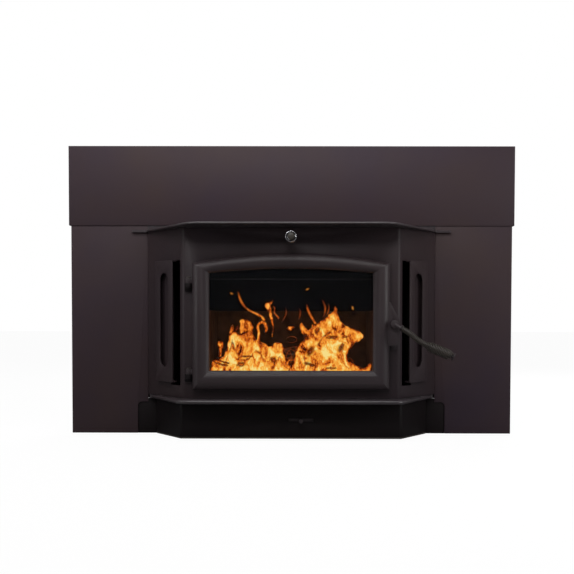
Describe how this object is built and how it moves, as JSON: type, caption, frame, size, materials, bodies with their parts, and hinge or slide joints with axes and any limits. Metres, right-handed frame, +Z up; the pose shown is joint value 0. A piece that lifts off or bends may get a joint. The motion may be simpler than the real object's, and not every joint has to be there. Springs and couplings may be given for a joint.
{
  "type": "fireplace insert",
  "caption": "Wood-burning fireplace insert with a bay front, arched glass door, coil-spring handle, side vent covers, hearth shelf and a flat surround.",
  "frame": {"origin": "on the hearth, under the middle of the insert, in the plane of the masonry face that the surround meets", "axes": "+X to the viewer's right along the surround, +Y into the fireplace, +Z up"},
  "size_m": [1.24, 0.6326, 0.8],
  "materials": {
    "painted_steel": "matt heat-proof black",
    "cast_iron": "matt black casting",
    "raw_steel": "plain dark steel",
    "stove_glass": "clear ceramic glass",
    "gasket_rope": "glass-fibre rope",
    "firebrick": "soot-stained firebrick",
    "combustor_ceramic": "honeycomb",
    "zinc_sheet": "zinc-coated",
    "black_wire": "black wire",
    "chrome_wire": "bright wire"
  },
  "bodies": {
    "insert": {"surround_top": "painted_steel", "surround_left": "painted_steel", "surround_right": "painted_steel", "surround_bracket_left": "painted_steel", "surround_bracket_right": "painted_steel", "bay_front": "painted_steel", "top_plate": "painted_steel", "hearth_shelf": "painted_steel", "base_front": "painted_steel", "base_plate": "raw_steel", "skirt_left": "painted_steel", "skirt_right": "painted_steel", "pedestal_left": "raw_steel", "pedestal_right": "raw_steel", "pedestal_back": "raw_steel", "deck": "raw_steel", "jacket_left": "raw_steel", "jacket_right": "raw_steel", "jacket_back": "raw_steel", "jacket_top": "raw_steel", "firebox_left": "raw_steel", "firebox_right": "raw_steel", "firebox_back": "raw_steel", "firebox_top": "raw_steel", "brick_floor": "firebrick", "brick_left": "firebrick", "brick_right": "firebrick", "brick_back": "firebrick", "flame_shield": "raw_steel", "baffle": "raw_steel", "baffle_rail_left": "raw_steel", "baffle_rail_right": "raw_steel", "combustor": "combustor_ceramic", "flue_box": "raw_steel", "flue_collar": "raw_steel", "vent_cover_left": "painted_steel", "vent_cover_right": "painted_steel", "hinge_bracket_lower": "cast_iron", "hinge_bracket_upper": "cast_iron", "hinge_pin_lower": "raw_steel", "hinge_pin_upper": "raw_steel", "strike_plate": "cast_iron", "rod_bushing": "cast_iron", "blower_housing": "zinc_sheet", "blower_motor": "zinc_sheet"},
    "door": {"door_frame": "cast_iron", "door_glass": "stove_glass", "glass_gasket": "gasket_rope", "glass_retainer": "raw_steel", "door_rope": "gasket_rope"},
    "handle": {"handle_rod": "cast_iron", "handle_coil": "black_wire", "latch_cam": "cast_iron"},
    "damper": {"damper_rod": "black_wire", "damper_coil": "chrome_wire", "damper_plate": "cast_iron"},
    "air_control": {"air_slide": "cast_iron"},
    "blower_rotor": {"blower_wheel": "zinc_sheet"}
  },
  "joints": [
    {"name": "door_swing", "type": "hinge", "parent": "insert", "child": "door", "pos_m": [-0.2685, -0.176, 0.3], "axis": [0, 0, -1], "range_deg": [0, 110]},
    {"name": "handle_turn", "type": "hinge", "parent": "door", "child": "handle", "pos_m": [0.27, -0.2, 0.307], "axis": [0, 1, 0], "range_deg": [0, 45]},
    {"name": "damper_pull", "type": "slide", "parent": "insert", "child": "damper", "axis": [0, -1, 0], "range_m": [0, 0.09]},
    {"name": "air_slide_move", "type": "slide", "parent": "insert", "child": "air_control", "axis": [1, 0, 0], "range_m": [-0.03, 0.03]},
    {"name": "blower_spin", "type": "hinge", "parent": "insert", "child": "blower_rotor", "pos_m": [0, 0.25, 0.046], "axis": [1, 0, 0], "continuous": true}
  ]
}
